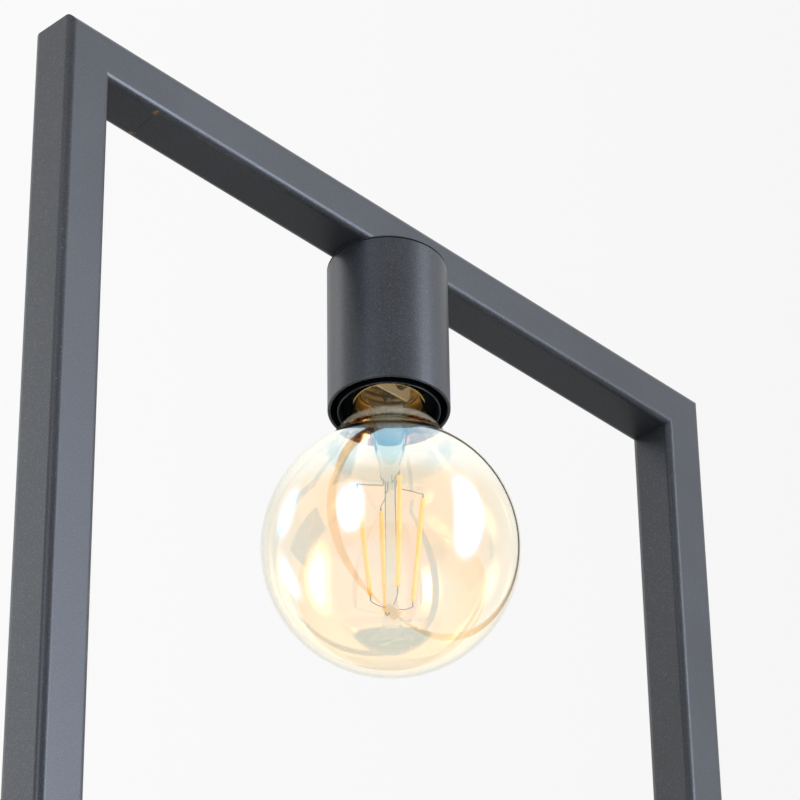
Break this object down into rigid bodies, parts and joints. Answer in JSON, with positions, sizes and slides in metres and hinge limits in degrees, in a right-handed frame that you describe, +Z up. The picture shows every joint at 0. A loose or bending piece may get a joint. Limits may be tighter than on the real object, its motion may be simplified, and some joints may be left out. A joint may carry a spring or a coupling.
{
  "type": "floor lamp",
  "caption": "Floor lamp: a tall rectangular frame of black square steel tube on a flat base plate, with a globe filament bulb under a round cup on the top bar.",
  "frame": {"origin": "on the floor, at the centre of the base plate's footprint", "axes": "+Z up; X along the base plate's long side and the top bar, +X towards the post without the cable inlet; +Y towards the back, where the cable inlet opens"},
  "size_m": [0.345, 0.22, 1.5],
  "materials": {
    "powder_coat": "fine-textured satin black powder coat",
    "steel": "plain",
    "zinc": "zinc plated",
    "brass": "plain",
    "cap_nickel": "nickel plated",
    "black_rubber": "matte",
    "black_plastic": "satin",
    "white_insulator": "matte, ceramic look",
    "lead_sheath": "soft matte",
    "core_sheath": "soft matte",
    "amber_glass": "clear, thin amber coating",
    "clear_glass": "clear",
    "phosphor": "yellow phosphor",
    "wire": "bare wire",
    "circuit_board": "solder mask"
  },
  "bodies": {
    "frame": {"left_post": "powder_coat", "right_post": "powder_coat", "top_bar": "powder_coat", "base_plate": "powder_coat", "floor_pads": "black_rubber", "post_inserts": "steel", "base_screws": "zinc", "cable_bush": "black_rubber", "inner_lead": "lead_sheath", "lead_cores": "core_sheath", "holder_cup": "powder_coat", "nipple_nut": "zinc", "nipple": "zinc", "tooth_washer": "zinc", "holder_cap": "black_plastic", "holder_skirt": "black_plastic", "holder_insert": "white_insulator", "screw_shell": "brass", "contact_spring": "brass", "terminal_blocks": "brass", "terminal_screws": "zinc"},
    "bulb_contact": {"cap_contact": "brass"},
    "bulb": {"glass_globe": "amber_glass", "glass_stem": "clear_glass", "filaments": "phosphor", "upper_wires": "wire", "lower_wires": "wire", "driver_board": "circuit_board", "bulb_cap": "cap_nickel", "cap_insulator": "black_plastic"}
  },
  "joints": [
    {"name": "bulb_travel", "type": "slide", "parent": "frame", "child": "bulb_contact", "axis": [0, 0, -1], "range_m": [0, 0.0128]},
    {"name": "bulb_turn", "type": "hinge", "parent": "bulb_contact", "child": "bulb", "pos_m": [0, 0, 1.445], "axis": [0, 0, -1], "range_deg": [0, 1260]}
  ],
  "couplings": [
    {"joint": "bulb_travel", "follows": "bulb_turn", "m_per_rad": 0.00057757}
  ]
}
